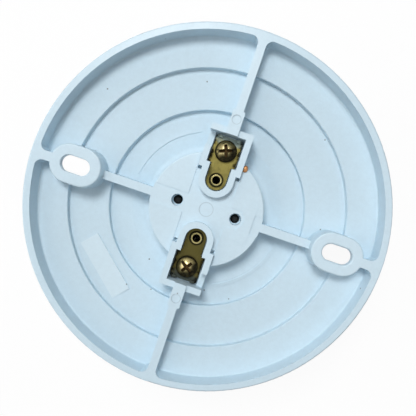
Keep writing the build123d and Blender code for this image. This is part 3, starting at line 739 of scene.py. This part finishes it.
class LAMPHOLDER_OT_terminals(bpy.types.Operator):
    """Give the terminal plates, screws and rivets their brass"""

    bl_idname = "lampholder.terminals"
    bl_label = "Dress Terminals"

    def execute(self, context):
        settings = context.scene.lampholder_brass
        rivet = brass("rivet_brass", settings, settings.rivet_colour, 0.3)
        for side, (film, level) in PLATE_STAIN_AND_SHADE.items():
            wear("terminal_plate_" + side, self.plate_brass(side, settings, film, level))
            wear("terminal_screw_" + side, self.screw_brass(side, settings))
            wear("terminal_rivet_" + side, rivet)
        return {"FINISHED"}

    def plate_brass(self, side, settings, film, level):
        """Dull brass with a painted reflection of the bluish wall and tarnish at the plate's outer end,
        painted shade along its sides, and a painted shadow round its rivet.
        """
        low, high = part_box("terminal_rivet_" + side)
        black = settings.shade_black_colour
        painted_light_and_film = (
            (opaque(settings.end_reflection_colour, level ** 2), 0.8, outward_light_and_tarnish("Y", *END_REFLECTION_SPAN, 0.85)),
            (black, 0.8, outward_light_and_tarnish("X", *SIDE_SHADE_SPAN, 0.9)),
            (black, 0.8, flange_shadow((low + high) / 2, settings.rivet_shadow_radius, SHADOW_RING_HALF_WIDTH)),
        )
        # A level below 1 darkens the lower plate and, squared, its end: painted shade
        colour = opaque(settings.plate_colour, level)
        return brass("plate_brass_" + side, settings, colour, 0.4, ALONG_Y, film, painted_light_and_film)

    def screw_brass(self, side, settings):
        """Brass with a painted highlight round the screw's recess, painted shade at the head's edge and
        deep in the recess, and a brown film on the recess floor.
        """
        corners = [Vector(corner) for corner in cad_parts["terminal_screw_" + side].bound_box]
        axis = sum(corners, Vector()) / len(corners)
        top = max(corner.z for corner in corners)
        black = settings.shade_black_colour
        painted_light_and_film = (
            (settings.highlight_colour, 0.0, recess_highlight(axis, settings)),
            (black, 0.9, head_shade(axis, settings)),
            # Black painted shade deep in the recess
            (black, 0.9, recess_shade_and_film(axis, top, *RECESS_SHADE_DEPTHS)),
            (settings.recess_colour, 0.5, recess_shade_and_film(axis, top, *BROWN_DEPTHS)),
        )
        return brass("screw_brass_" + side, settings, settings.screw_colour, 0.24, gathered=painted_light_and_film)


class LAMPHOLDER_OT_copper_bit(bpy.types.Operator):
    """Drop the small bit of copper beside the upper pocket"""

    bl_idname = "lampholder.copper_bit"
    bl_label = "Drop Copper Bit"

    def execute(self, context):
        settings = context.scene.lampholder_brass
        copper = brass("copper", settings, settings.copper_colour, 0.35)
        bit = pebble("copper_bit", settings.bit_place, (1.6 * MM, 2.4 * MM, 0.9 * MM), copper)
        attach(bit, HOLDER)
        return {"FINISHED"}


class LAMPHOLDER_OT_lamp_shell(bpy.types.Operator):
    """Roll the thread into the lamp shell and dress it, its screws and the centre contact"""

    bl_idname = "lampholder.lamp_shell"
    bl_label = "Build Lamp Shell"

    def execute(self, context):
        settings = context.scene.lampholder_shell
        terminals = context.scene.lampholder_brass
        nickel = plated("nickel_plate", settings, settings.colour, 0.24)
        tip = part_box("shell_screw_left")[1].z
        # The last 3 mm towards each shell screw's tip get painted shade
        steel = plated("zinc_plate", settings, settings.steel_colour, 0.4, tip - 3 * MM)
        spring = brass("spring_brass", terminals, settings.spring_colour, 0.3, ALONG_Y)
        wear("screw_shell", nickel)
        wear("centre_contact", spring)
        for end in ENDS:
            wear("shell_screw_" + end, steel)
        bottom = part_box("screw_shell")[0].z + settings.thread_margin
        thread = threaded_sleeve("lamp_thread", settings, settings.thread_top, bottom, nickel)
        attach(thread, HOLDER)
        return {"FINISHED"}


class LAMPHOLDER_OT_stage(bpy.types.Operator):
    """Lay the floor and set the lamps, the sky and the camera"""

    bl_idname = "lampholder.stage"
    bl_label = "Set Stage"

    def execute(self, context):
        settings = context.scene.lampholder_stage
        distance = settings.lamp_distance
        self.lay_floor(settings)
        self.light_sky(context.scene, settings)
        self.hang_lamp("key_lamp", settings.key, KEY_AT, distance, settings.lamp_size)
        self.hang_lamp("window_lamp", settings.window, WINDOW_AT, distance, settings.window_size)
        self.hang_lamp("rim_lamp", settings.rim, RIM_AT, settings.rim_distance, settings.rim_size)
        self.set_camera(context.scene, settings)
        context.scene.view_settings.view_transform = "Standard"
        return {"FINISHED"}

    def lay_floor(self, settings):
        """Lay white paper under the mouth, lifted to plain white where it is seen."""
        half = settings.floor_size / 2
        level = cad_low.z
        corners = [(-half, -half, level), (half, -half, level), (half, half, level), (-half, half, level)]
        material, tree = new_material("floor_paper")
        shade = tree.spread(tree.noise(tree.place(), PAPER_SCALE, 4.0), *NOISE_SPAN, *PAPER_WHITE)
        tone = tree.add("ShaderNodeCombineColor", {"Red": shade, "Green": shade, "Blue": shade})
        paper = tree.add("ShaderNodeBsdfDiffuse", {"Color": tone.outputs["Color"]})
        glow = tree.add("ShaderNodeEmission", {"Color": (1, 1, 1, 1), "Strength": 1.0})
        lift = tree.maths("MULTIPLY", self.seen(tree), settings.floor_white)
        lift = tree.maths("MULTIPLY", lift, self.beside_mouth(tree))
        mix = {"Fac": lift, 1: paper.outputs["BSDF"], 2: glow.outputs["Emission"]}
        both = tree.add("ShaderNodeMixShader", mix)
        tree.add("ShaderNodeOutputMaterial", {"Surface": both.outputs["Shader"]})
        piece_from("floor", corners, [(0, 1, 2, 3)], material, smooth=False)

    def seen(self, tree):
        """1 for rays that the camera, gloss or glass sends, and 0 for the light itself."""
        path = tree.add("ShaderNodeLightPath").outputs
        mirrored = tree.maths("MAXIMUM", path["Is Glossy Ray"], path["Is Transmission Ray"])
        return tree.maths("MAXIMUM", path["Is Camera Ray"], mirrored)

    def beside_mouth(self, tree):
        """0 on the floor under the collar's dark mouth, seen down the rivet holes, and 1 beside it."""
        reach = from_axis(tree, tree.place(), (0, 0, 0))[1]
        return tree.maths("GREATER_THAN", reach, MOUTH_RADIUS)

    def light_sky(self, scene, settings):
        """Light the part evenly from all round, in front of a plain white background."""
        scene.world = bpy.data.worlds.new("sky")
        scene.world.use_nodes = True
        tree = Tree(scene.world.node_tree)
        strength = tree.spread(self.seen(tree), 0.0, 1.0, settings.sky, 1.0)
        glow = tree.add("ShaderNodeBackground", {"Color": (1, 1, 1, 1), "Strength": strength})
        tree.add("ShaderNodeOutputWorld", {"Surface": glow.outputs["Background"]})

    def hang_lamp(self, name, share, direction, distance, size):
        """Hang a square lamp that aims at the part. A share of 1 alone would light level paper to white."""
        turn, rise = (math.radians(angle) for angle in direction)
        across = math.cos(rise)
        towards = Vector((math.cos(turn) * across, math.sin(turn) * across, math.sin(rise)))
        lamp = bpy.data.lights.new(name, "AREA")
        lamp.shape = "SQUARE"
        lamp.size = size
        lamp.energy = share * math.pi ** 2 * distance ** 2 / math.sin(rise)
        holder = bpy.data.objects.new(name, lamp)
        holder.location = towards * distance
        holder.rotation_euler = towards.to_track_quat("Z", "Y").to_euler()
        bpy.context.scene.collection.objects.link(holder)

    def set_camera(self, scene, settings):
        """Stand the camera over the open back, as in the photo."""
        camera = bpy.data.cameras.new("camera")
        camera.lens = settings.lens
        camera.clip_start = 1 * MM
        stand = bpy.data.objects.new("camera", camera)
        stand.location = settings.camera_place
        stand.rotation_euler = settings.camera_turn
        scene.collection.objects.link(stand)
        scene.camera = stand


class LAMPHOLDER_PT_panel(bpy.types.Panel):
    """Lists what dresses the lampholder"""

    bl_idname = "LAMPHOLDER_PT_panel"
    bl_label = "Ceiling Lampholder"
    bl_space_type = "VIEW_3D"
    bl_region_type = "UI"
    bl_category = "Lampholder"

    def draw(self, context):
        column = self.layout.column(align=True)
        for operator in OPERATORS:
            column.operator(operator.bl_idname)
        for name in SETTINGS:
            group = getattr(context.scene, name)
            box = self.layout.box()
            for field in group.bl_rna.properties:
                if field.identifier not in ("rna_type", "name"):
                    box.prop(group, field.identifier)


SETTINGS = {
    "lampholder_plastic": PlasticSettings,
    "lampholder_brass": BrassSettings,
    "lampholder_shell": ShellSettings,
    "lampholder_stage": StageSettings,
}
OPERATORS = (
    LAMPHOLDER_OT_base,
    LAMPHOLDER_OT_terminals,
    LAMPHOLDER_OT_copper_bit,
    LAMPHOLDER_OT_lamp_shell,
    LAMPHOLDER_OT_stage,
)


def register():
    """Add the classes, and the settings to each scene."""
    for kind in (*SETTINGS.values(), *OPERATORS, LAMPHOLDER_PT_panel):
        bpy.utils.register_class(kind)
    for name, group in SETTINGS.items():
        setattr(bpy.types.Scene, name, PointerProperty(type=group))


def unregister():
    """Take away what register added."""
    for name in SETTINGS:
        delattr(bpy.types.Scene, name)
    for kind in (LAMPHOLDER_PT_panel, *reversed(OPERATORS), *SETTINGS.values()):
        bpy.utils.unregister_class(kind)


def main():
    """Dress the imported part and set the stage."""
    register()
    bpy.ops.lampholder.base()
    bpy.ops.lampholder.terminals()
    bpy.ops.lampholder.copper_bit()
    bpy.ops.lampholder.lamp_shell()
    bpy.ops.lampholder.stage()


if __name__ == "__main__":
    main()
